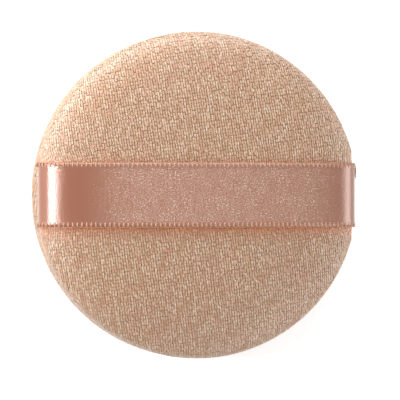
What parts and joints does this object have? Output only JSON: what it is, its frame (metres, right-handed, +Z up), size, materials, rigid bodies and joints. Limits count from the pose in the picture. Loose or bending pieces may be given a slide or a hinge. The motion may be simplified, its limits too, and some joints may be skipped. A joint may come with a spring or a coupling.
{
  "type": "powder puff",
  "caption": "Round stuffed velour powder puff with a flat satin ribbon strap sewn into its rim seam at both ends, lying on its powder face.",
  "frame": {"origin": "on the table the puff lies on, under the middle of the pad", "axes": "+Z up through the pad, from the powder face to the ribbon; +X along the ribbon; +Y across it"},
  "size_m": [0.08, 0.08, 0.0209],
  "materials": {
    "velour": "knitted cotton velour with a short dense cut pile, powder beige",
    "satin": "woven polyester satin with looped selvedges, dusty rose, glossy",
    "foam": "open-cell foam, cream",
    "thread": "spun polyester sewing thread"
  },
  "bodies": {
    "puff": {"back_cover": "velour", "face_cover": "velour", "foam_core": "foam", "rim_needle_thread": "thread", "rim_bobbin_thread": "thread", "closing_thread": "thread", "ribbon_tack_right": "thread", "ribbon_tack_left": "thread"},
    "ribbon": {"satin_ribbon": "satin"}
  },
  "joints": [
    {"name": "ribbon_lift", "type": "slide", "parent": "puff", "child": "ribbon", "axis": [0, 0, 1], "range_m": [0, 0.006], "deforming": ["satin_ribbon"]}
  ]
}
